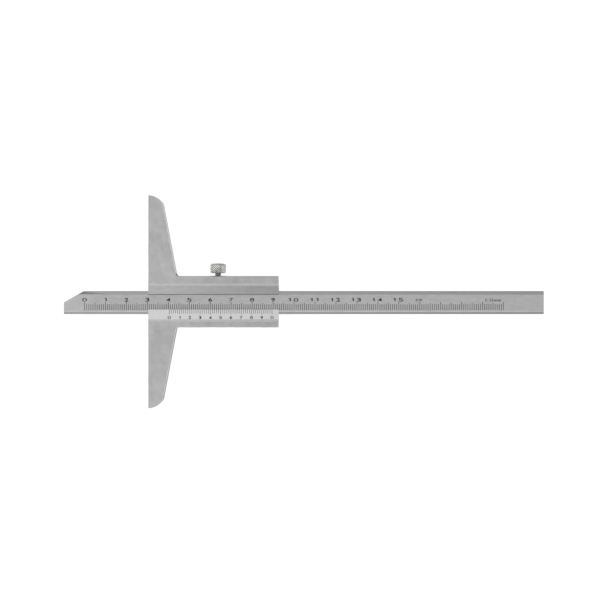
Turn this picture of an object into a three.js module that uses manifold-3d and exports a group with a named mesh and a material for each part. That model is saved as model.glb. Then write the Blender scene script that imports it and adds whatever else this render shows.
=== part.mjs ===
// Vernier depth gauge with a bevelled slider, a graduated beam and a knurled locking screw.
//
// Millimetres. The gauge lies on its back: +X runs along the beam, away from its measuring
// end, +Y runs across it towards the locking screw, and +Z out of the graduated face.
// The origin is the middle of the slider's back. The beam is shown drawn out by its reading.

import * as THREE from 'three';
import { mergeVertices, toCreasedNormals } from 'three/addons/utils/BufferGeometryUtils.js';
import Module from 'manifold-3d';

// Beam: a flat steel bar with a cut tip
const beamLength = 229.3;
const beamHeight = 11.1;
const beamThickness = 4;
const tipLand = 5.7;
const tipCutLength = 9.6;
const upperBevelWidth = 1.75;
const lowerBevelWidth = 1.15;
const beamBevelDepth = 0.45;
const beamEdgeBreak = 0.25;
const tailCornerRadius = 0.6;
const reading = 40.5;

// Slider: crosshead and arm in one piece, round a guide that is open along its front
const sliderLength = 62.2;
const crossheadSpan = 101.7;
const crossheadEndRadius = 8.1;
const crossheadShoulderRadius = 3.5;
const crossheadRootWidth = 13.5;
const upperRailHeight = 5.9;
const lowerRailHeight = 6.3;
const backWall = 2;
const frontWall = 1.9;
const upperFilletRadius = 1.4;
const lowerFilletRadius = 1.3;
const edgeBreak = 0.25;
const holeMouthChamfer = 0.3;

// Bevelled trough on the slider's front, whose two lips hold the beam in its guide
const troughMargin = 3.55;
const facetWidth = 1.1;
const upperLipCover = 1.5;
const vernierLipCover = 2.25;
const lipEdgeShare = 0.3;
const facetFootShare = 0.58;

// Gib: a loose strip between the beam and the upper rail
const gibThickness = 0.9;
const gibWidth = 3.2;
const gibEndInset = 1;
const gibFloat = 0.3;
const dimpleDepth = 0.5;

// Gib screws: headless, slotted, with a cone point in a dimple of the gib
const gibScrewInset = 12;
const gibScrewRadius = 1.25;
const gibScrewPointRadius = 0.25;
const gibScrewSink = 0.9;
const slotWidth = 0.6;
const slotDepth = 0.5;

// Locking screw: a knurled head on a plain-ended shank
const lockScrewPlace = 33.15;
const lockScrewRadius = 1.5;
const lockScrewTipChamfer = 0.3;
const headStandOff = 1.4;
const headRadius = 3.8;
const headHeight = 4.45;
const headChamfer = 0.45;
const crownRise = 0.5;
const knurlDepth = 0.24;

// Clearances, and the overrun that lets a cut break cleanly through a face
const slidingGap = 0.05;
const lockedGap = 0.02;
const screwGap = 0.05;
const overrun = 1;

// Angles and counts
const crossheadArcEnd = THREE.MathUtils.degToRad(30);
const slotTurnStep = THREE.MathUtils.degToRad(38);
const creaseAngle = THREE.MathUtils.degToRad(25);
const arcSteps = 4;
const cornerSteps = 6;
const roundSides = 32;
const knurlCount = 30;
const knurlRows = 8;
const crownRings = 3;

// Heights above the slider's back
const beamBackZ = backWall + slidingGap;
const beamFrontZ = beamBackZ + beamThickness;
const guideRoofZ = beamFrontZ + slidingGap;
const bodyThickness = guideRoofZ + frontWall;
const screwLineZ = beamBackZ + beamThickness / 2;

// Heights across the arm, measured from its centreline
const guideHeight = slidingGap + beamHeight + lockedGap + gibThickness + gibFloat + slidingGap;
const armHalfHeight = (lowerRailHeight + guideHeight + upperRailHeight) / 2;
const guideBottomY = lowerRailHeight - armHalfHeight;
const guideTopY = armHalfHeight - upperRailHeight;
const beamBottomY = guideBottomY + slidingGap;
const beamTopY = beamBottomY + beamHeight;
const gibBottomY = beamTopY + lockedGap;
const gibTopY = gibBottomY + gibThickness;
const headBottomY = armHalfHeight + headStandOff;
const headTopY = headBottomY + headHeight;

// Places along the gauge
const measuringFaceX = -sliderLength / 2;
const armEndX = sliderLength / 2;
const beamTipX = measuringFaceX - reading;
const beamTailX = beamTipX + beamLength;
const lockScrewX = measuringFaceX + lockScrewPlace;
const gibScrewXs = [measuringFaceX + gibScrewInset, armEndX - gibScrewInset];

const groundSteel = new THREE.MeshStandardMaterial({ color: 0xa9a9a9, roughness: 0.4, metalness: 0.9 });
const chromedSteel = new THREE.MeshStandardMaterial({ color: 0xaeaeae, roughness: 0.45, metalness: 0.9 });
const screwSteel = new THREE.MeshStandardMaterial({ color: 0x7d7d7f, roughness: 0.4, metalness: 0.9 });
const knurledSteel = new THREE.MeshStandardMaterial({ color: 0xb2afab, roughness: 0.35, metalness: 1 });
const bronze = new THREE.MeshStandardMaterial({ color: 0xa98a55, roughness: 0.45, metalness: 0.9 });

const wasm = await Module();
wasm.setup();

// A closed three.js geometry as a manifold solid, ready for joining and cutting.
function solid(geometry) {
  const bare = geometry.clone();
  bare.deleteAttribute('normal');
  bare.deleteAttribute('uv');
  const merged = mergeVertices(bare);
  return new wasm.Manifold(new wasm.Mesh({
    numProp: 3,
    vertProperties: new Float32Array(merged.attributes.position.array),
    triVerts: new Uint32Array(merged.index.array),
  }));
}

// A finished solid as a named mesh.
function piece(name, shape, material) {
  const { vertProperties, triVerts } = shape.getMesh();
  const geometry = new THREE.BufferGeometry();
  geometry.setAttribute('position', new THREE.BufferAttribute(vertProperties, 3));
  geometry.setIndex(new THREE.BufferAttribute(triVerts, 1));
  const mesh = new THREE.Mesh(toCreasedNormals(geometry, creaseAngle), material);
  mesh.name = name;
  return mesh;
}

// A box between two opposite corners.
function block(low, high) {
  const size = high.clone().sub(low);
  const middle = low.clone().add(high).divideScalar(2);
  return solid(new THREE.BoxGeometry(size.x, size.y, size.z).translate(middle.x, middle.y, middle.z));
}

// A prism whose [y, z] outline runs along X from one place to another.
function prismAlongX(outline, startX, endX) {
  const shape = new THREE.Shape(outline.map(([y, z]) => new THREE.Vector2(y, z)));
  const prism = new THREE.ExtrudeGeometry(shape, { depth: endX - startX, bevelEnabled: false });
  const alongX = new THREE.Matrix4().makeBasis(
    new THREE.Vector3(0, 1, 0),
    new THREE.Vector3(0, 0, 1),
    new THREE.Vector3(1, 0, 0),
  );
  return solid(prism.applyMatrix4(alongX).translate(startX, 0, 0));
}

// A body turned about the Y axis from a [radius, y] profile that starts and ends on the axis.
function turned(profile) {
  return new THREE.LatheGeometry(profile.map(([radius, y]) => new THREE.Vector2(radius, y)), roundSides);
}

// An arc of points that rounds the corner between two straight edges.
function roundedCorner(before, corner, after, radius) {
  const back = before.clone().sub(corner).normalize();
  const ahead = after.clone().sub(corner).normalize();
  const halfAngle = back.angleTo(ahead) / 2;
  const inward = back.clone().add(ahead).normalize();
  const centre = corner.clone().addScaledVector(inward, radius / Math.sin(halfAngle));
  const tangentPoint = corner.clone().addScaledVector(back, radius / Math.tan(halfAngle));
  const turn = Math.sign(ahead.cross(back)) * (Math.PI - 2 * halfAngle);
  const points = [];
  for (let step = 0; step <= cornerSteps; step += 1) {
    points.push(tangentPoint.clone().rotateAround(centre, turn * (step / cornerSteps)));
  }
  return points;
}

// One wing of the crosshead, from the measuring face round its end and down to the arm.
function wingOutline(filletRadius) {
  const arcCentreY = crossheadSpan / 2 - crossheadEndRadius;
  const arc = new THREE.Path();
  arc.absarc(measuringFaceX, arcCentreY, crossheadEndRadius, Math.PI / 2, crossheadArcEnd, true);
  const end = arc.getPoints(arcSteps);
  const shoulder = end.pop();
  const root = new THREE.Vector2(measuringFaceX + crossheadRootWidth, armHalfHeight);
  const armCorner = new THREE.Vector2(armEndX, armHalfHeight);
  return [
    ...end,
    ...roundedCorner(end.at(-1), shoulder, root, crossheadShoulderRadius),
    ...roundedCorner(shoulder, root, armCorner, filletRadius),
  ];
}

// A flat plate standing on Z = 0, with the edges of its outline broken front and back.
function plate(outline, thickness, chamfer) {
  return new THREE.ExtrudeGeometry(outline, {
    depth: thickness - 2 * chamfer,
    bevelThickness: chamfer,
    bevelSize: chamfer,
    bevelOffset: -chamfer,
    bevelSegments: 1,
  }).translate(0, 0, chamfer);
}

// The slider before any cut: crosshead and arm in one outline.
function sliderBlank() {
  const mirrored = wingOutline(lowerFilletRadius).map((point) => new THREE.Vector2(point.x, -point.y));
  const outline = new THREE.Shape([
    ...wingOutline(upperFilletRadius),
    new THREE.Vector2(armEndX, armHalfHeight),
    new THREE.Vector2(armEndX, -armHalfHeight),
    ...mirrored.reverse(),
  ]);
  return solid(plate(outline, bodyThickness, edgeBreak));
}

// The guide in which the beam and the gib lie.
function guide() {
  return block(
    new THREE.Vector3(measuringFaceX - overrun, guideBottomY, backWall),
    new THREE.Vector3(armEndX + overrun, guideTopY, guideRoofZ),
  );
}

// The trough: a steep facet down each side, a gentle slope to each lip, and the window.
function trough() {
  const lipEdgeZ = guideRoofZ + lipEdgeShare * frontWall;
  const facetFootZ = guideRoofZ + facetFootShare * frontWall;
  const upperY = beamTopY + troughMargin;
  const lowerY = beamBottomY - troughMargin;
  const windowTopY = beamTopY - upperLipCover;
  const windowBottomY = beamBottomY + vernierLipCover;
  return prismAlongX([
    [upperY, bodyThickness + overrun],
    [lowerY, bodyThickness + overrun],
    [lowerY, bodyThickness],
    [lowerY + facetWidth, facetFootZ],
    [windowBottomY, lipEdgeZ],
    [windowBottomY, beamFrontZ],
    [windowTopY, beamFrontZ],
    [windowTopY, lipEdgeZ],
    [upperY - facetWidth, facetFootZ],
    [upperY, bodyThickness],
  ], measuringFaceX - overrun, armEndX + overrun);
}

// A tapped hole down through the upper rail into the guide, with a chamfered mouth.
function railHole(x, radius) {
  const holeRadius = radius + screwGap;
  const mouthY = armHalfHeight - holeMouthChamfer;
  const hole = turned([
    [0, guideTopY - overrun],
    [holeRadius, guideTopY - overrun],
    [holeRadius, mouthY],
    [holeRadius + holeMouthChamfer + overrun, armHalfHeight + overrun],
    [0, armHalfHeight + overrun],
  ]);
  return solid(hole.translate(x, 0, screwLineZ));
}

function sliderBody() {
  let body = sliderBlank().subtract(guide()).subtract(trough());
  body = body.subtract(railHole(lockScrewX, lockScrewRadius));
  for (const x of gibScrewXs) {
    body = body.subtract(railHole(x, gibScrewRadius));
  }
  return piece('slider_body', body, groundSteel);
}

// The beam in plan: square land, cut tip, and a tail with slightly rounded corners.
function beamOutline() {
  const landCorner = new THREE.Vector2(beamTipX, beamBottomY);
  const landTop = new THREE.Vector2(beamTipX, beamBottomY + tipLand);
  const cutTop = new THREE.Vector2(beamTipX + tipCutLength, beamTopY);
  const tailTop = new THREE.Vector2(beamTailX, beamTopY);
  const tailBottom = new THREE.Vector2(beamTailX, beamBottomY);
  return new THREE.Shape([
    landCorner,
    ...roundedCorner(landCorner, tailBottom, tailTop, tailCornerRadius),
    ...roundedCorner(tailBottom, tailTop, cutTop, tailCornerRadius),
    cutTop,
    landTop,
  ]);
}

// The beam: its bevelled section along X, met by its plan outline with broken edges.
function beam() {
  const section = prismAlongX([
    [beamBottomY, beamBackZ],
    [beamTopY, beamBackZ],
    [beamTopY, beamFrontZ - beamBevelDepth],
    [beamTopY - upperBevelWidth, beamFrontZ],
    [beamBottomY + lowerBevelWidth, beamFrontZ],
    [beamBottomY, beamFrontZ - beamBevelDepth],
  ], beamTipX - overrun, beamTailX + overrun);
  const plan = plate(beamOutline(), beamThickness, beamEdgeBreak).translate(0, 0, beamBackZ);
  return piece('beam', section.intersect(solid(plan)), chromedSteel);
}

// A cone dimple of the gib, and the cone point that sits in it, share one slope.
function dimple(x) {
  const mouthRadius = gibScrewPointRadius + dimpleDepth;
  const cone = turned([
    [0, gibTopY - dimpleDepth],
    [gibScrewPointRadius, gibTopY - dimpleDepth],
    [mouthRadius + overrun, gibTopY + overrun],
    [0, gibTopY + overrun],
  ]);
  return solid(cone.translate(x, 0, screwLineZ));
}

function gib() {
  let strip = block(
    new THREE.Vector3(measuringFaceX + gibEndInset, gibBottomY, screwLineZ - gibWidth / 2),
    new THREE.Vector3(armEndX - gibEndInset, gibTopY, screwLineZ + gibWidth / 2),
  );
  for (const x of gibScrewXs) {
    strip = strip.subtract(dimple(x));
  }
  return piece('gib', strip, bronze);
}

function gibScrew(name, x, slotTurn) {
  const pointY = gibTopY - dimpleDepth + gibFloat;
  const faceY = armHalfHeight - gibScrewSink;
  const screw = turned([
    [0, pointY],
    [gibScrewPointRadius, pointY],
    [gibScrewRadius, pointY + gibScrewRadius - gibScrewPointRadius],
    [gibScrewRadius, faceY],
    [0, faceY],
  ]);
  const slot = new THREE.BoxGeometry(2 * (gibScrewRadius + overrun), 2 * slotDepth, slotWidth);
  slot.rotateY(slotTurn).translate(0, faceY, 0);
  const shape = solid(screw).subtract(solid(slot)).translate([x, 0, screwLineZ]);
  return piece(name, shape, screwSteel);
}

// The radius and height of each ring of points up the knurled head, ending in a domed crown.
function headRings() {
  const valleyRadius = headRadius - knurlDepth;
  const faceRadius = headRadius - headChamfer;
  const knurlBottomY = headBottomY + headChamfer - knurlDepth;
  const knurlTopY = headTopY - headChamfer + knurlDepth;
  const rings = [{ radius: faceRadius, y: headBottomY }];
  for (let row = 0; row <= knurlRows; row += 1) {
    const y = THREE.MathUtils.lerp(knurlBottomY, knurlTopY, row / knurlRows);
    const crested = row > 0 && row < knurlRows;
    rings.push({ radius: valleyRadius, y, crested });
  }
  for (let ring = 0; ring < crownRings; ring += 1) {
    const angle = (ring / crownRings) * Math.PI / 2;
    rings.push({ radius: faceRadius * Math.cos(angle), y: headTopY + crownRise * Math.sin(angle) });
  }
  return rings;
}

// The head's skin: crests and valleys alternate, and each facet pair folds along its valley,
// so the valleys join into two crossing sets of grooves round small pyramids.
function knurledHead() {
  const around = 2 * knurlCount;
  const rings = headRings();
  const positions = [0, headBottomY, 0];
  rings.forEach(({ radius, y, crested }, row) => {
    for (let step = 0; step < around; step += 1) {
      const crest = crested && (step + row) % 2 === 0;
      const reach = crest ? headRadius : radius;
      const angle = (step / around) * 2 * Math.PI;
      positions.push(reach * Math.cos(angle), y, reach * Math.sin(angle));
    }
  });
  positions.push(0, headTopY + crownRise, 0);
  const top = positions.length / 3 - 1;
  const at = (step, row) => 1 + row * around + (step % around);
  const faces = [];
  for (let step = 0; step < around; step += 1) {
    faces.push(0, at(step, 0), at(step + 1, 0));
    faces.push(top, at(step + 1, rings.length - 1), at(step, rings.length - 1));
    for (let row = 0; row + 1 < rings.length; row += 1) {
      const near = [at(step, row), at(step + 1, row)];
      const far = [at(step, row + 1), at(step + 1, row + 1)];
      if ((step + row) % 2 === 0) {
        faces.push(near[0], far[0], near[1], near[1], far[0], far[1]);
      } else {
        faces.push(near[0], far[0], far[1], near[0], far[1], near[1]);
      }
    }
  }
  const head = new THREE.BufferGeometry();
  head.setAttribute('position', new THREE.Float32BufferAttribute(positions, 3));
  head.setIndex(faces);
  return solid(head);
}

function lockScrew() {
  const tipY = gibTopY + lockedGap;
  const shank = solid(turned([
    [0, tipY],
    [lockScrewRadius - lockScrewTipChamfer, tipY],
    [lockScrewRadius, tipY + lockScrewTipChamfer],
    [lockScrewRadius, headBottomY + headHeight / 2],
    [0, headBottomY + headHeight / 2],
  ]));
  const shape = knurledHead().add(shank).translate([lockScrewX, 0, screwLineZ]);
  return piece('lock_screw', shape, knurledSteel);
}

const gauge = new THREE.Group();
gauge.add(sliderBody(), beam(), gib(), lockScrew());
gibScrewXs.forEach((x, index) => {
  gauge.add(gibScrew(`gib_screw_${index + 1}`, x, index * slotTurnStep));
});

export default gauge;
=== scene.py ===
import math

import bmesh
import bpy
from mathutils import Matrix, Vector


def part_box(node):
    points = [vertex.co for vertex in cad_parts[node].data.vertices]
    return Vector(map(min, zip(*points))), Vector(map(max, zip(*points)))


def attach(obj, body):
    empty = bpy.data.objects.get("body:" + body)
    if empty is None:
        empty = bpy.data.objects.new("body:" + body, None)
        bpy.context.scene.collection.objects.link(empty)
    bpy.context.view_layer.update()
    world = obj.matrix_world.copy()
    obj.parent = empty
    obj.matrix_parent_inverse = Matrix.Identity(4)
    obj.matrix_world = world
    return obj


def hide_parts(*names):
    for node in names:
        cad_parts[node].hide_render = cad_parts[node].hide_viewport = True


# A vernier depth gauge, seen straight from above as it lies on its back. Lengths are in metres.
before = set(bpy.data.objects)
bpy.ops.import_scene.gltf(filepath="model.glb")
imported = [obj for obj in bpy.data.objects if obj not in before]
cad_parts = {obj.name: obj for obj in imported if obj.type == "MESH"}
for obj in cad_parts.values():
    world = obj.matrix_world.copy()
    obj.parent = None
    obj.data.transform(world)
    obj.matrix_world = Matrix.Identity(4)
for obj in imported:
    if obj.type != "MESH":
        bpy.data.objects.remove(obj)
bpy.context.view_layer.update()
MM = 0.001

# Where the camera looks, how high it hangs, and how much it takes in at the height of the beam's face
PICTURE_CENTRE = (41.24 * MM, 0.82 * MM)
PICTURE_WIDTH = 286.43 * MM
BEAM_FACE_HEIGHT = 6.05 * MM
CAMERA_HEIGHT = 800 * MM

# Graduations: filled engraved lines. Each scale starts this far from its piece's left end, and has
# longer lines at every fifth and tenth.
ENGRAVING_DEPTH = 0.05 * MM
SCALE_START = 10 * MM
LINE_WIDTH = 0.25 * MM
SCALE_LINES = 200
SCALE_FOOT = 1.9 * MM
SCALE_LENGTHS = (2.9 * MM, 3.4 * MM, 3.9 * MM)
VERNIER_LINE_WIDTH = 0.2 * MM
VERNIER_LINES = 50
VERNIER_STEP = 0.98 * MM
VERNIER_LENGTHS = (1.9 * MM, 2.35 * MM)

# Rows of characters: how high they stand, the width and height of a figure, the step from one character
# to the next, how bold the strokes are, and how much lower the round figures reach
LAST_CENTIMETRE = 15
SCALE_FIGURES = dict(
    foot=6.24 * MM, width=2.15 * MM, height=1.49 * MM, pitch=2.75 * MM, boldness=0.012, reach=0.17 * MM
)
VERNIER_FIGURES = dict(foot=-4.5 * MM, width=1.42 * MM, height=1.35 * MM, pitch=0, boldness=0.01)
UNIT_ROWS = (
    ("cm", 159.6 * MM, dict(foot=6.2 * MM, width=1.25 * MM, height=1.6 * MM, pitch=1.7 * MM, boldness=0.014)),
    ("0.02", 193.2 * MM, dict(foot=6.15 * MM, width=0.8 * MM, height=1.25 * MM, pitch=1.03 * MM, boldness=0.006)),
    ("mm", 197.1 * MM, dict(foot=6.15 * MM, width=1.2 * MM, height=1.2 * MM, pitch=1.75 * MM, boldness=0.02)),
)

# The typeface: the width and height of its own figures, how many steps a curve has, how wide a character
# is beside the row's width, and what its strokes gain over the row's boldness
FIGURE_WIDTH = 0.44
FIGURE_HEIGHT = 0.69
CURVE_STEPS = 3
WIDTHS = {"0": 1.1, "2": 0.86, "3": 0.94, "4": 1.02, "5": 1.06, "6": 0.9, "7": 0.9, "8": 1.0, "9": 0.86}
WIDTHS |= {"c": 0.9, "m": 1.25}
THICKER = {"0": -0.004, "2": 0.02, "3": 0.016, "6": 0.018, "9": 0.018}
ROUND_FIGURES = "0235689"
# A figure 1 stands right of its line and has a slanted flag; a figure 4 has its bar, found between two
# heights, drawn lower
ONE_ASIDE = 0.3 * MM
ONE_FLAG = Matrix(((0.19, 0, 0, 0.155), (0.13, 0.09, 0, 0.58), (0, 0, 2, 0), (0, 0, 0, 1)))
FOUR_BAR = (0.2, 0.35)
FOUR_DROP = 0.11

# Faces are told apart by how far they lean from straight up, in degrees
FACET_TILT = (30, 42)
LIP_TILT = (4, 14)
WALL_TILT = (80, 100)
CHAMFER_TILT = (43, 47)
BEVEL_TILT = (12, 25)
SIDE_TILT = 40
# or by how much of their normal points up
LEVEL = 0.999
NEARLY_LEVEL = 0.95
STEEP = 0.9
UPRIGHT = 0.1
# or across, towards the screw's head
ACROSS = 0.5
OUTWARD = 0.25
AWAY = -0.1
# and by where their middles lie
PAINTED_SHADE_WALL_SPAN = (3 * MM, 4.5 * MM)
ARM_EDGE_SPAN = (12 * MM, 13.5 * MM)
FILLET_END = -16.7 * MM
SCREW_X = 2.05 * MM

# Edges: what is taken off them and the length that this needs, the angle from which they are sharp, and
# the angles up to which a wall is rounded and a face is flat
EDGE_BREAK = 0.07 * MM
BREAKABLE = 4 * EDGE_BREAK
SHARP = math.radians(20)
ROUND_WALL = math.radians(16)
FLAT = math.radians(0.4)

# How near to each other two points are one, on a part, in a row of characters and on the cut thread
ONE_POINT = 0.001 * MM
ONE_POINT_IN_ROW = 0.0001 * MM
ONE_POINT_ON_THREAD = 0.005 * MM

# The beam's lower margin, and the wedge at the tip end of its upper bevel that is painted dark: painted shade for
# a dark reflection
MARGIN_WIDTH = 0.5 * MM
SHADE_WEDGE_START = Vector((-64, 4.8, 0)) * MM
SHADE_WEDGE_END = Vector((-44, 3.39, 0)) * MM
SHADE_WEDGE_FOOT = 3.66 * MM

# Locking screw: diamond knurling on its head, and a metric thread of 0.5 pitch
KNURLS_ROUND = 22
KNURL_ROWS = 4
KNURL_ROOT_RADIUS = 3.56 * MM
KNURL_RISE = 0.24 * MM
KNURL_SLOPE = 0.13 * MM
HEAD_FACE_RADIUS = 3.35 * MM
HEAD_CHAMFER = 0.25 * MM
HEAD_HEIGHT = 4.45 * MM
# The crown in rings: radius in millimetres, and share of its rise
CROWN_RISE = 0.5 * MM
CROWN = ((3.35, 0.0), (2.75, 0.06), (2.2, 0.3), (1.6, 0.62), (1.0, 0.86), (0.4, 1.0))
# The thread, with the corners of its profile over one pitch: radius, and share of the pitch
THREAD_PITCH = 0.5 * MM
THREAD_CREST = 1.5 * MM
THREAD_ROOT = 1.2 * MM
THREAD_PROFILE = ((THREAD_ROOT, 0), (THREAD_ROOT, 0.12), (THREAD_CREST, 0.5), (THREAD_CREST, 0.62))
THREAD_STEPS = 32

# Steel: a fine lay drawn out along X, which also stands in relief, over mottling in patches; both swing the gloss
LAY_SCALE = (160, 5200, 5200)
PATCHES = (240, 520, 520)
BROAD_PATCHES = (130, 90, 130)
NOISE_MIDDLE = 0.5
GLOSS_SWING = 0.5
RELIEF = 0.12
RELIEF_HEIGHT = 0.02 * MM

# Painted light and shade along X: a finish darkens from nothing at the first place to its full loss at the
# second.
# A loss below nothing paints it lighter.
NOWHERE = (0, 0, 1)
SLIDER_ENDS = (-31.1 * MM, 31.1 * MM)
BEAM_ENDS = (-71.6 * MM, 157.7 * MM)
TIP = (-66 * MM, -54 * MM)
SHADE_WEDGE = (-62 * MM, -46 * MM)
LEFT_OF_HEAD = (SCREW_X - 4.8 * MM, SCREW_X - 2.2 * MM)
RIGHT_OF_HEAD = (SCREW_X + 4.6 * MM, SCREW_X + 2.2 * MM)
KNURL_ROOTS_SPAN = (1.4 * MM, -1.5 * MM)
KNURL_TOPS_SPAN = (0.9 * MM, -1.1 * MM)

# The bench, pale in its own right and glowing where the camera or a reflection sees it
BENCH_REACH = 3
BENCH_TOP = -0.1 * MM
BENCH_ROUGHNESS = 0.9
BENCH_GREY = 0.85
BENCH_SEEN_GREY = 0.35
BENCH_GLOW = 0.85

# The room's brightness from the horizon up to overhead, and the softbox in it
ROOM = ((0.0, 1.0), (0.3, 1.0), (0.6, 0.6), (0.86, 0.57), (1.0, 0.57))
ROOM_STRENGTH = 1.25
SOFTBOX = dict(place=(-0.2, 0, 0.52), aim=(-0.1, 0, 0), size=(0.32, 1.1), radiance=0.35)


# Measures


def within(value, span):
    return span[0] < value < span[1]


def middle_of(values):
    return (min(values) + max(values)) / 2


# The marks


def rule_line(marks, x, foot, length, width, place):
    """Engraves one graduation upwards from its foot."""
    size = Matrix.Diagonal((width, length, 2 * ENGRAVING_DEPTH, 1))
    spot = Matrix.Translation((x, foot + length / 2, 0))
    bmesh.ops.create_cube(marks, size=1, matrix=place @ spot @ size)


def drawn_character(character, boldness):
    """One character of the built-in typeface as a solid, a unit deep to either side."""
    curve = bpy.data.curves.new("lettering", "FONT")
    curve.body = character
    curve.offset = boldness + THICKER.get(character, 0)
    curve.resolution_u = CURVE_STEPS
    curve.extrude = 1
    lettering = bpy.data.objects.new("lettering", curve)
    bpy.context.scene.collection.objects.link(lettering)
    bpy.context.view_layer.update()
    mesh = bpy.data.meshes.new_from_object(lettering.evaluated_get(bpy.context.evaluated_depsgraph_get()))
    bpy.data.objects.remove(lettering)
    if character == "4":
        for vertex in mesh.vertices:
            if within(vertex.co.y, FOUR_BAR):
                vertex.co.y -= FOUR_DROP
    return mesh


def letter_row(marks, text, middle, place, foot, width, height, pitch, boldness, reach=0):
    """Engraves a centred row of characters, stretched to their widths."""
    row = bmesh.new()
    ones = []
    for number, character in enumerate(text):
        mesh = drawn_character(character, boldness)
        across = [vertex.co.x for vertex in mesh.vertices]
        stretch = width / FIGURE_WIDTH
        if character in WIDTHS:
            stretch = width * WIDTHS[character] / (max(across) - min(across))
        lower = reach if character in ROUND_FIGURES else 0
        centred = Matrix.Translation((-middle_of(across), 0, 0))
        size = Matrix.Diagonal((stretch, (height + lower) / FIGURE_HEIGHT, ENGRAVING_DEPTH, 1))
        spot = Matrix.Translation((number * pitch, -lower, 0)) @ size @ centred
        mesh.transform(spot)
        row.from_mesh(mesh)
        bpy.data.meshes.remove(mesh)
        if character == "1":
            ones.append(spot)
    bmesh.ops.remove_doubles(row, verts=row.verts, dist=ONE_POINT_IN_ROW)
    across = [vertex.co.x for vertex in row.verts]
    for spot in ones:
        bmesh.ops.create_cube(row, size=1, matrix=spot @ ONE_FLAG)
    row.transform(place @ Matrix.Translation((middle - middle_of(across), foot, 0)))
    mesh = bpy.data.meshes.new("row")
    row.to_mesh(mesh)
    row.free()
    marks.from_mesh(mesh)
    bpy.data.meshes.remove(mesh)


def beam_marks(place):
    """Millimetre lines 0 to 200 with their centimetre numerals, the unit and the division."""
    marks = bmesh.new()
    for line in range(SCALE_LINES + 1):
        length = SCALE_LENGTHS[2 if line % 10 == 0 else 1 if line % 5 == 0 else 0]
        rule_line(marks, SCALE_START + line * MM, SCALE_FOOT, length, LINE_WIDTH, place)
    for centimetre in range(LAST_CENTIMETRE + 1):
        x = SCALE_START + centimetre * 10 * MM + (ONE_ASIDE if centimetre == 1 else 0)
        letter_row(marks, str(centimetre), x, place, **SCALE_FIGURES)
    for text, along, lettering in UNIT_ROWS:
        letter_row(marks, text, SCALE_START + along, place, **lettering)
    return marks


def vernier_marks(place):
    """Fifty divisions over 49 millimetres, down from the lip's edge, numbered at every fifth."""
    marks = bmesh.new()
    for line in range(VERNIER_LINES + 1):
        length = VERNIER_LENGTHS[1 if line % 5 == 0 else 0]
        x = SCALE_START + line * VERNIER_STEP
        rule_line(marks, x, -length, length + VERNIER_LINE_WIDTH, VERNIER_LINE_WIDTH, place)
    for tenth in range(VERNIER_LINES // 5 + 1):
        x = SCALE_START + tenth * 5 * VERNIER_STEP + (ONE_ASIDE if tenth == 1 else 0)
        letter_row(marks, str(tenth % 10), x, place, **VERNIER_FIGURES)
    return marks


def engrave(piece, marks):
    """Cuts the marks into a piece, and leaves their black filling in the cuts."""
    mesh = bpy.data.meshes.new("marks")
    bmesh.ops.recalc_face_normals(marks, faces=marks.faces)
    marks.to_mesh(mesh)
    marks.free()
    mesh.materials.append(FILLING)
    cutter = bpy.data.objects.new("marks", mesh)
    bpy.context.scene.collection.objects.link(cutter)
    engraving = piece.modifiers.new("engraving", "BOOLEAN")
    engraving.operation = "DIFFERENCE"
    engraving.solver = "EXACT"
    engraving.material_mode = "TRANSFER"
    engraving.object = cutter
    engraving.use_self = True
    bpy.context.view_layer.update()
    engraved = bpy.data.meshes.new_from_object(piece.evaluated_get(bpy.context.evaluated_depsgraph_get()))
    piece.modifiers.clear()
    piece.data = engraved
    bpy.data.objects.remove(cutter)


# The finishes


def node(tree, kind, **values):
    """A node with its settings and the values of its inputs."""
    made = tree.nodes.new(kind)
    for key, value in values.items():
        if key in made.inputs:
            made.inputs[key].default_value = value
        else:
            setattr(made, key, value)
    return made


def feed(tree, taker, value):
    """Gives a node's input a value, or what comes out of another node."""
    if isinstance(value, bpy.types.NodeSocket):
        tree.links.new(value, taker)
    else:
        taker.default_value = value


def reckon(tree, operation, first, second):
    """What a calculation with two numbers gives, each a value or out of another node."""
    made = node(tree, "ShaderNodeMath", operation=operation)
    feed(tree, made.inputs[0], first)
    feed(tree, made.inputs[1], second)
    return made.outputs[0]


def noise_over(tree, place, scale, detail, roughness):
    """A noise over a place, as fine along each axis as its scale there is large."""
    spread = node(tree, "ShaderNodeMapping")
    feed(tree, spread.inputs["Vector"], place)
    feed(tree, spread.inputs["Scale"], scale)
    noise = node(tree, "ShaderNodeTexNoise", Scale=1.0, Detail=detail, Roughness=roughness)
    feed(tree, noise.inputs["Vector"], spread.outputs["Vector"])
    return noise.outputs["Fac"]


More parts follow.
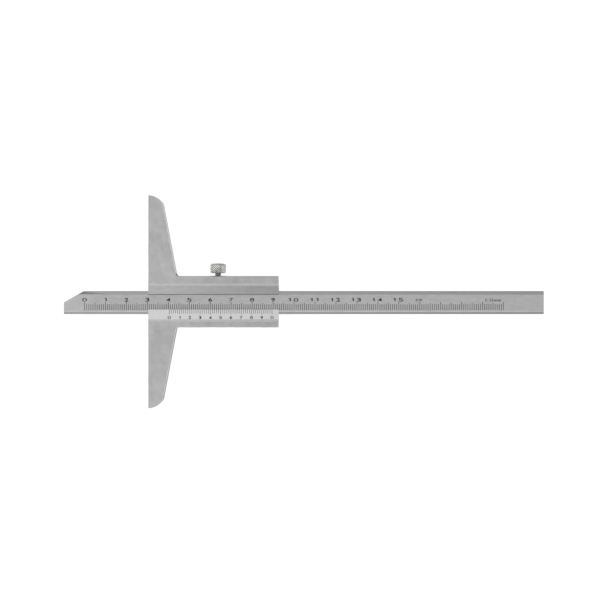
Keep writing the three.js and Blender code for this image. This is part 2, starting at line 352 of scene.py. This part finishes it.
def steel_surface():
    """Shared finish of ground and chromed steel: fine lay along one axis, over broad mottling, with light and
    shade painted in along X.
    """
    group = bpy.data.node_groups.new("steel_surface", "ShaderNodeTree")
    face = group.interface
    face.new_socket("Vector", in_out="INPUT", socket_type="NodeSocketVector")
    face.new_socket("Colour", in_out="INPUT", socket_type="NodeSocketColor")
    for label in ("Roughness", "Mottling", "Lay", "Fade", "Fade From", "Fade To"):
        face.new_socket(label, in_out="INPUT", socket_type="NodeSocketFloat")
    face.new_socket("Patches", in_out="INPUT", socket_type="NodeSocketVector")
    face.new_socket("Colour", in_out="OUTPUT", socket_type="NodeSocketColor")
    for label in ("Roughness", "Height"):
        face.new_socket(label, in_out="OUTPUT", socket_type="NodeSocketFloat")
    take = group.nodes.new("NodeGroupInput").outputs
    give = group.nodes.new("NodeGroupOutput").inputs
    join = group.links.new

    lay = noise_over(group, take["Vector"], LAY_SCALE, detail=3.0, roughness=0.6)
    mottle = noise_over(group, take["Vector"], take["Patches"], detail=4.0, roughness=0.7)

    def swing(noise, amount):
        return reckon(group, "MULTIPLY", reckon(group, "SUBTRACT", noise, NOISE_MIDDLE), amount)

    swings = reckon(group, "ADD", swing(lay, take["Lay"]), swing(mottle, take["Mottling"]))
    along = node(group, "ShaderNodeSeparateXYZ")
    join(take["Vector"], along.inputs[0])
    fade = node(group, "ShaderNodeMapRange", interpolation_type="SMOOTHSTEP")
    join(along.outputs["X"], fade.inputs["Value"])
    join(take["Fade From"], fade.inputs["From Min"])
    join(take["Fade To"], fade.inputs["From Max"])
    faded = reckon(group, "MULTIPLY", fade.outputs["Result"], take["Fade"])
    tint = node(group, "ShaderNodeVectorMath", operation="SCALE")
    join(take["Colour"], tint.inputs[0])
    join(reckon(group, "ADD", swings, reckon(group, "SUBTRACT", 1.0, faded)), tint.inputs["Scale"])
    join(tint.outputs[0], give["Colour"])

    gloss = reckon(group, "MULTIPLY", swings, GLOSS_SWING)
    join(reckon(group, "SUBTRACT", take["Roughness"], gloss), give["Roughness"])
    join(lay, give["Height"])
    return group


STEEL_SURFACE = steel_surface()


def grey(value):
    return (value, value, value)


def finish_of(name, colour, roughness, mottling=0.25, lay=0.2, metallic=1.0, fade=NOWHERE, patches=PATCHES):
    """A finish with its own colour, gloss, mottling and lay, with light and shade that may be painted in along X.
    """
    material = bpy.data.materials.new(name)
    material.use_nodes = True
    tree = material.node_tree
    shader = tree.nodes["Principled BSDF"]
    shader.inputs["Metallic"].default_value = metallic
    place = tree.nodes.new("ShaderNodeTexCoord")
    surface = tree.nodes.new("ShaderNodeGroup")
    surface.node_tree = STEEL_SURFACE
    labels = ("Colour", "Roughness", "Mottling", "Lay", "Patches", "Fade", "Fade From", "Fade To")
    for label, value in zip(labels, ((*colour, 1), roughness, mottling, lay, patches, *fade)):
        surface.inputs[label].default_value = value
    bump = node(tree, "ShaderNodeBump", Strength=RELIEF, Distance=RELIEF_HEIGHT)
    join = tree.links.new
    join(place.outputs["Object"], surface.inputs["Vector"])
    join(surface.outputs["Colour"], shader.inputs["Base Color"])
    join(surface.outputs["Roughness"], shader.inputs["Roughness"])
    join(surface.outputs["Height"], bump.inputs["Height"])
    join(bump.outputs["Normal"], shader.inputs["Normal"])
    return material


# Painted light: the ground finish, facets, lips and vernier are painted darker towards the right
GROUND = finish_of(
    "slider_ground", grey(0.45), 0.38, mottling=0.52, lay=0.14, fade=(0.1, *SLIDER_ENDS), patches=BROAD_PATCHES
)
GROUND_SIDE = finish_of("slider_sides", grey(0.36), 0.42, mottling=0.35)
# Painted shade: a darker copy of the side finish for the walls facing -Y, away from the light
SHADED_LOWER_SIDE = finish_of("slider_lower_sides_painted_shade", grey(0.19), 0.42, mottling=0.35)
# Painted shade: near black on the wall under the upper lip, which the beam reflects as a shadow line, and in the
# fillet beside the crosshead
PAINTED_SHADE_WALL = finish_of("painted_shade_wall", grey(0.16), 0.5, mottling=0.4)
# Edges lighter: partly rubbed by handling, partly a painted highlight along them
RUBBED_EDGE_AND_HIGHLIGHT = finish_of("rubbed_edge_and_highlight", grey(0.52), 0.3, mottling=1.2)
# Painted shadow of the screw's head on the arm's upper chamfer, darkest under the head and fading out to either
# side
SHADED_LEFT = finish_of("edge_left_of_head_painted_shadow", grey(0.36), 0.36, fade=(0.96, *LEFT_OF_HEAD))
SHADED_RIGHT = finish_of("edge_right_of_head_painted_shadow", grey(0.36), 0.36, fade=(0.96, *RIGHT_OF_HEAD))
FACET = finish_of("slider_facet", grey(0.47), 0.34, fade=(0.08, *SLIDER_ENDS))
UPPER_LIP = finish_of("slider_lip", grey(0.48), 0.4, fade=(0.24, *SLIDER_ENDS))
VERNIER = finish_of("matt_chrome", grey(0.71), 0.5, mottling=0.1, lay=0.06, fade=(0.04, *SLIDER_ENDS))
# Painted light on the beam: its face lighter at the tip as a painted highlight, its bevels painted darker towards
# the right
BEAM_FACE = finish_of("satin_chrome", grey(0.54), 0.55, fade=(0.09, *TIP))
BEAM_MARGIN = finish_of("beam_margin", grey(0.56), 0.4)
BEAM_BEVEL = finish_of("beam_bevel", grey(0.465), 0.3, fade=(0.17, *BEAM_ENDS))
# Painted shade: the wedge at the tip end of the upper bevel, a painted dark reflection, darkest at the tip
BEVEL_SHADE_WEDGE = finish_of("bevel_painted_shade_wedge", grey(0.27), 0.3, fade=(-0.7, *SHADE_WEDGE))
# Painted light on the knurl: roots near black, partly grime and partly painted shade; roots and tops painted
# lighter towards the head's left side as a painted highlight
KNURL = finish_of("knurl_roots_grime_and_shade", (0.05, 0.048, 0.046), 0.35, mottling=0.4, fade=(-8, *KNURL_ROOTS_SPAN))
KNURL_FLAT = finish_of("knurl_tops", (0.82, 0.80, 0.77), 0.22, mottling=2.4, fade=(-0.38, *KNURL_TOPS_SPAN))
# Painted light on the head's chamfers: the one by the crown painted darker as shade, the one at the foot a
# lighter copy that offsets the arm's shade
CHAMFER = finish_of("head_chamfer", (0.22, 0.22, 0.21), 0.35, mottling=1.5)
LOWER_CHAMFER = finish_of("lower_head_chamfer", (0.5, 0.49, 0.47), 0.35, mottling=1.5)
CROWN_STEEL = finish_of("crown_steel", (0.76, 0.75, 0.73), 0.28, mottling=0.4)
NECK = finish_of("screw_thread", grey(0.48), 0.4)
DARK_SCREW = finish_of("dark_screw", (0.18, 0.18, 0.19), 0.35)
BRONZE = finish_of("bronze_strip", (0.42, 0.28, 0.12), 0.4)
FILLING = finish_of("black_filling", grey(0.012), 0.6, metallic=0.0)

SLIDER_FINISHES = (
    GROUND, FACET, UPPER_LIP, VERNIER, GROUND_SIDE, RUBBED_EDGE_AND_HIGHLIGHT, PAINTED_SHADE_WALL, SHADED_LOWER_SIDE, SHADED_LEFT, SHADED_RIGHT
)
BEAM_FINISHES = (BEAM_FACE, BEAM_BEVEL, GROUND, BEAM_MARGIN, RUBBED_EDGE_AND_HIGHLIGHT, BEVEL_SHADE_WEDGE)
SCREW_FINISHES = (KNURL, KNURL_FLAT, NECK, CROWN_STEEL, CHAMFER, LOWER_CHAMFER)


# The pieces


def tilt_of(face):
    """How far a face leans from straight up, in degrees."""
    return math.degrees(math.acos(max(-1, min(1, face.normal.z))))


def largest(faces):
    return max(faces, key=lambda face: face.calc_area())


def new_piece(name, finishes):
    """An object of a given name, still empty, with its finishes in order."""
    mesh = bpy.data.meshes.new(name)
    for finish in finishes:
        mesh.materials.append(finish)
    piece = bpy.data.objects.new(name, mesh)
    bpy.context.scene.collection.objects.link(piece)
    return piece


def copy_of(cad_node):
    """A CAD node's shape in clean flat faces, all of the first finish."""
    shape = bmesh.new()
    shape.from_mesh(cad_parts[cad_node].data)
    bmesh.ops.remove_doubles(shape, verts=shape.verts, dist=ONE_POINT)
    bmesh.ops.dissolve_limit(shape, angle_limit=FLAT, verts=shape.verts, edges=shape.edges)
    for face in shape.faces:
        face.material_index = 0
    return shape


def break_edges(shape, finish):
    """Takes the sharpness off every outward edge and gives it a lighter finish: rubbed by handling, and partly a
    painted highlight.
    """
    sharp = [
        edge
        for edge in shape.edges
        if edge.is_convex and edge.calc_face_angle() > SHARP and edge.calc_length() > BREAKABLE
    ]
    rubbed = bmesh.ops.bevel(
        shape,
        geom=sharp,
        offset=EDGE_BREAK,
        offset_type="OFFSET",
        affect="EDGES",
        segments=1,
        profile=0.5,
        material=-1,
        clamp_overlap=True,
    )["faces"]
    for face in rubbed:
        face.material_index = finish


def part_faces(shape, faces, point, across):
    """Parts some faces along a plane through a point, so that each side can have its own finish."""
    around = {part for face in faces for part in (*face.edges, *face.verts)}
    bmesh.ops.bisect_plane(shape, geom=[*faces, *around], plane_co=point, plane_no=across)


def shade(mesh):
    """Rounded walls look round, and every flat face stays flat."""
    shape = bmesh.new()
    shape.from_mesh(mesh)
    for face in shape.faces:
        face.smooth = True
    for edge in shape.edges:
        walls = all(abs(face.normal.z) < STEEP for face in edge.link_faces)
        edge.smooth = walls and len(edge.link_faces) == 2 and edge.calc_face_angle() < ROUND_WALL
    shape.to_mesh(mesh)
    shape.free()


def on_arm_edge(face):
    """Whether a face is part of the arm's upper side or of its chamfer or fillet."""
    facing = face.normal.y > OUTWARD and face.normal.z < NEARLY_LEVEL
    return facing and within(face.calc_center_median().y, ARM_EDGE_SPAN)


def mark_arm_edge(shape):
    """Parts the arm's upper chamfer under the screw's head and paints the head's shadow on it, and paints shade
    into the fillet beside the crosshead.
    """
    finish = SLIDER_FINISHES.index
    chamfer = [face for face in shape.faces if on_arm_edge(face) and face.normal.z > UPRIGHT]
    part_faces(shape, chamfer, (SCREW_X, 0, 0), (1, 0, 0))
    for face in filter(on_arm_edge, shape.faces):
        x = face.calc_center_median().x
        if x < FILLET_END:
            face.material_index = finish(PAINTED_SHADE_WALL)
        elif face.normal.z > UPRIGHT:
            face.material_index = finish(SHADED_LEFT if x < SCREW_X else SHADED_RIGHT)


def slider():
    finish = SLIDER_FINISHES.index
    piece = new_piece("slider", SLIDER_FINISHES)
    shape = copy_of("slider_body")
    for face in shape.faces:
        tilt = tilt_of(face)
        y = face.calc_center_median().y
        if within(tilt, FACET_TILT) and abs(face.normal.y) > ACROSS:
            face.material_index = finish(FACET)
        elif within(tilt, LIP_TILT):
            face.material_index = finish(UPPER_LIP if y > 0 else VERNIER)
        elif within(tilt, WALL_TILT) and face.normal.y > AWAY:
            face.material_index = finish(GROUND_SIDE)
        # Walls facing -Y get painted shade, darkest on the wall under the upper lip
        elif within(tilt, WALL_TILT):
            face.material_index = finish(PAINTED_SHADE_WALL if within(y, PAINTED_SHADE_WALL_SPAN) else SHADED_LOWER_SIDE)
        elif within(tilt, CHAMFER_TILT):
            face.material_index = finish(RUBBED_EDGE_AND_HIGHLIGHT)
    lip = largest(face for face in shape.faces if face.material_index == finish(VERNIER))
    edge_y = max(vertex.co.y for vertex in lip.verts)
    edge_z = min(vertex.co.z for vertex in lip.verts)
    left_x = min(vertex.co.x for vertex in lip.verts)
    slope = math.atan2(lip.normal.y, lip.normal.z)
    break_edges(shape, finish(RUBBED_EDGE_AND_HIGHLIGHT))
    mark_arm_edge(shape)
    shape.to_mesh(piece.data)
    shape.free()
    engrave(piece, vernier_marks(Matrix.Translation((left_x, edge_y, edge_z)) @ Matrix.Rotation(-slope, 4, "X")))
    shade(piece.data)
    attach(piece, "slider")
    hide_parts("slider_body")


def mark_run_out(shape):
    """Parts off the wedge at the tip end of the upper bevel that gets painted shade, darkest towards the tip."""
    finish = BEAM_FINISHES.index
    outwards = (SHADE_WEDGE_END - SHADE_WEDGE_START).cross((0, 0, -1))

    def upper_bevel():
        bevel = [face for face in shape.faces if face.material_index == finish(BEAM_BEVEL)]
        return [face for face in bevel if face.calc_center_median().y > 0]

    part_faces(shape, upper_bevel(), SHADE_WEDGE_START, outwards)
    part_faces(shape, upper_bevel(), (0, SHADE_WEDGE_FOOT, 0), (0, 1, 0))
    for face in upper_bevel():
        middle = face.calc_center_median()
        if middle.y > SHADE_WEDGE_FOOT and (middle - SHADE_WEDGE_START).dot(outwards) < 0:
            face.material_index = finish(BEVEL_SHADE_WEDGE)


def graduated_beam():
    finish = BEAM_FINISHES.index
    piece = new_piece("graduated_beam", BEAM_FINISHES)
    shape = copy_of("beam")
    low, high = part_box("beam")
    for face in shape.faces:
        tilt = tilt_of(face)
        if within(tilt, BEVEL_TILT):
            face.material_index = finish(BEAM_BEVEL)
        elif tilt > SIDE_TILT:
            face.material_index = finish(GROUND)
    top = largest(face for face in shape.faces if face.normal.z > LEVEL)
    margin_y = min(vertex.co.y for vertex in top.verts) + MARGIN_WIDTH
    break_edges(shape, finish(RUBBED_EDGE_AND_HIGHLIGHT))
    part_faces(shape, [face for face in shape.faces if face.normal.z > LEVEL], (0, margin_y, 0), (0, 1, 0))
    for face in shape.faces:
        if face.normal.z > LEVEL and face.calc_center_median().y < margin_y:
            face.material_index = finish(BEAM_MARGIN)
    mark_run_out(shape)
    shape.to_mesh(piece.data)
    shape.free()
    engrave(piece, beam_marks(Matrix.Translation((low.x, low.y, high.z))))
    shade(piece.data)
    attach(piece, "beam")
    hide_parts("beam")


def draw_out(shape, rim, rings):
    """Draws a rim out through rings of a given radius and height, and closes the last one."""
    for radius, height in rings:
        drawn = bmesh.ops.extrude_edge_only(shape, edges=rim)["geom"]
        corners = {part for part in drawn if isinstance(part, bmesh.types.BMVert)}
        for corner in corners:
            across = corner.co.xy.normalized() * radius
            corner.co = (across.x, across.y, height)
        rim = [part for part in drawn if isinstance(part, bmesh.types.BMEdge) and set(part.verts) <= corners]
    bmesh.ops.edgeloop_fill(shape, edges=rim)


def knurled_head():
    """The head standing on z = 0: a band of flat-topped diamonds between two chamfers, and a low crown."""
    finish = SCREW_FINISHES.index
    shape = bmesh.new()
    band = HEAD_HEIGHT - 2 * HEAD_CHAMFER
    bmesh.ops.create_cone(
        shape, segments=KNURLS_ROUND, radius1=KNURL_ROOT_RADIUS, radius2=KNURL_ROOT_RADIUS, depth=band
    )
    bmesh.ops.translate(shape, verts=shape.verts, vec=(0, 0, HEAD_HEIGHT / 2))
    upright = [edge for edge in shape.edges if abs(edge.verts[0].co.z - edge.verts[1].co.z) > band / 2]
    bmesh.ops.subdivide_edges(shape, edges=upright, cuts=KNURL_ROWS - 1)
    old = list(shape.edges)
    bulge = KNURL_ROOT_RADIUS * (1 - math.cos(math.pi / KNURLS_ROUND))
    bmesh.ops.poke(shape, faces=shape.faces, offset=bulge)
    bmesh.ops.dissolve_edges(shape, edges=[edge for edge in old if len(edge.link_faces) == 2])
    diamonds = list(shape.faces)
    bmesh.ops.inset_individual(shape, faces=diamonds, thickness=KNURL_SLOPE, depth=KNURL_RISE)
    for diamond in diamonds:
        diamond.material_index = finish(KNURL_FLAT)
    rims = [edge for edge in shape.edges if edge.is_boundary]
    low = [edge for edge in rims if edge.verts[0].co.z < HEAD_HEIGHT / 2]
    high = [edge for edge in rims if edge.verts[0].co.z > HEAD_HEIGHT / 2]
    draw_out(shape, low, [(HEAD_FACE_RADIUS, 0), (THREAD_CREST, 0)])
    draw_out(shape, high, [(radius * MM, HEAD_HEIGHT + share * CROWN_RISE) for radius, share in CROWN])
    for face in shape.faces:
        height = face.calc_center_median().z
        if height > HEAD_HEIGHT:
            face.material_index = finish(CROWN_STEEL)
        # Painted light: the chamfer by the crown darker, the chamfer at the foot lighter
        elif HEAD_HEIGHT - height < HEAD_CHAMFER:
            face.material_index = finish(CHAMFER)
        elif height < HEAD_CHAMFER:
            face.material_index = finish(LOWER_CHAMFER)
    return shape


def threaded_shank(length):
    """A metric thread below z = 0, cut flat at both ends."""
    shape = bmesh.new()
    outline = []
    for turn in range(math.ceil(length / THREAD_PITCH) + 2):
        foot = -length - THREAD_PITCH + turn * THREAD_PITCH
        for radius, share in THREAD_PROFILE:
            outline.append(shape.verts.new((radius, 0, foot + share * THREAD_PITCH)))
    profile = [shape.edges.new(pair) for pair in zip(outline, outline[1:])]
    bmesh.ops.spin(
        shape,
        geom=[*outline, *profile],
        cent=(0, 0, 0),
        axis=(0, 0, 1),
        dvec=(0, 0, THREAD_PITCH / THREAD_STEPS),
        angle=2 * math.pi,
        steps=THREAD_STEPS,
    )
    bmesh.ops.remove_doubles(shape, verts=shape.verts, dist=ONE_POINT)
    for height, away in ((0, 1), (-length, -1)):
        bmesh.ops.bisect_plane(
            shape,
            geom=[*shape.verts, *shape.edges, *shape.faces],
            plane_co=(0, 0, height),
            plane_no=(0, 0, away),
            clear_outer=True,
        )
    bmesh.ops.remove_doubles(shape, verts=shape.verts, dist=ONE_POINT_ON_THREAD)
    bmesh.ops.holes_fill(shape, edges=[edge for edge in shape.edges if edge.is_boundary], sides=0)
    bmesh.ops.recalc_face_normals(shape, faces=shape.faces)
    for face in shape.faces:
        face.material_index = SCREW_FINISHES.index(NECK)
    return shape


def locking_screw():
    low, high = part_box("lock_screw")
    foot = high.y - CROWN_RISE - HEAD_HEIGHT
    piece = new_piece("locking_screw", SCREW_FINISHES)
    shape = knurled_head()
    bmesh.ops.recalc_face_normals(shape, faces=shape.faces)
    shank = threaded_shank(foot - low.y)
    shank.to_mesh(piece.data)
    shank.free()
    shape.from_mesh(piece.data)
    along_y = Matrix.Rotation(math.radians(-90), 4, "X")
    shape.transform(Matrix.Translation(((low.x + high.x) / 2, foot, (low.z + high.z) / 2)) @ along_y)
    for face in shape.faces:
        face.smooth = True
    for edge in shape.edges:
        edge.smooth = edge.calc_face_angle(math.pi) < SHARP
    shape.to_mesh(piece.data)
    shape.free()
    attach(piece, "lock_screw")
    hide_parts("lock_screw")


def plain_nodes():
    """The gib and its two screws keep their CAD shape."""
    for name, finish in (("gib", BRONZE), ("gib_screw_1", DARK_SCREW), ("gib_screw_2", DARK_SCREW)):
        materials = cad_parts[name].data.materials
        materials.clear()
        materials.append(finish)


# The studio


def bench():
    """A pale bench under the gauge, white to the camera and in reflections, with its shadow kept."""
    shape = bmesh.new()
    bmesh.ops.create_grid(shape, x_segments=1, y_segments=1, size=BENCH_REACH)
    mesh = bpy.data.meshes.new("bench")
    shape.to_mesh(mesh)
    shape.free()
    floor = bpy.data.objects.new("bench", mesh)
    floor.location.z = BENCH_TOP
    bpy.context.scene.collection.objects.link(floor)
    material = bpy.data.materials.new("bench")
    material.use_nodes = True
    tree = material.node_tree
    shader = tree.nodes["Principled BSDF"]
    shader.inputs["Roughness"].default_value = BENCH_ROUGHNESS
    ray = tree.nodes.new("ShaderNodeLightPath")
    seen = reckon(tree, "MAXIMUM", ray.outputs["Is Camera Ray"], ray.outputs["Is Glossy Ray"])
    colour = node(tree, "ShaderNodeMix", data_type="RGBA")
    colour.inputs["A"].default_value = (*grey(BENCH_GREY), 1)
    colour.inputs["B"].default_value = (*grey(BENCH_SEEN_GREY), 1)
    tree.links.new(seen, colour.inputs["Factor"])
    tree.links.new(colour.outputs["Result"], shader.inputs["Base Color"])
    shader.inputs["Emission Color"].default_value = (*grey(1), 1)
    tree.links.new(reckon(tree, "MULTIPLY", seen, BENCH_GLOW), shader.inputs["Emission Strength"])
    mesh.materials.append(material)


def softbox(name, place, aim, size, radiance):
    """A soft lamp that the camera doesn't see, as bright as a sheet of that radiance."""
    light = bpy.data.lights.new(name, "AREA")
    light.shape = "RECTANGLE"
    light.size, light.size_y = size
    light.energy = radiance * size[0] * size[1] * math.pi
    lamp = bpy.data.objects.new(name, light)
    lamp.location = place
    lamp.rotation_euler = (Vector(aim) - Vector(place)).to_track_quat("-Z", "Y").to_euler()
    lamp.visible_camera = False
    bpy.context.scene.collection.objects.link(lamp)


def studio():
    """A white room, bright low down and dimmer overhead, with a softbox above the gauge."""
    world = bpy.data.worlds.new("studio")
    bpy.context.scene.world = world
    world.use_nodes = True
    tree = world.node_tree
    direction = tree.nodes.new("ShaderNodeTexCoord")
    height = tree.nodes.new("ShaderNodeSeparateXYZ")
    walls = tree.nodes.new("ShaderNodeValToRGB")
    stops = walls.color_ramp.elements
    for spot, _ in ROOM[1:-1]:
        stops.new(spot)
    for stop, (spot, brightness) in zip(stops, ROOM):
        stop.position = spot
        stop.color = (*grey(brightness), 1)
    join = tree.links.new
    join(direction.outputs["Generated"], height.inputs[0])
    join(height.outputs["Z"], walls.inputs["Fac"])
    background = tree.nodes["Background"]
    join(walls.outputs["Color"], background.inputs["Color"])
    background.inputs["Strength"].default_value = ROOM_STRENGTH
    softbox("top_box", **SOFTBOX)
    bpy.context.scene.view_settings.view_transform = "Standard"


def camera():
    view = bpy.data.cameras.new("camera")
    view.lens = view.sensor_width * CAMERA_HEIGHT / PICTURE_WIDTH
    stand = bpy.data.objects.new("camera", view)
    stand.location = (*PICTURE_CENTRE, BEAM_FACE_HEIGHT + CAMERA_HEIGHT)
    bpy.context.scene.collection.objects.link(stand)
    bpy.context.scene.camera = stand


slider()
graduated_beam()
locking_screw()
plain_nodes()
bench()
studio()
camera()
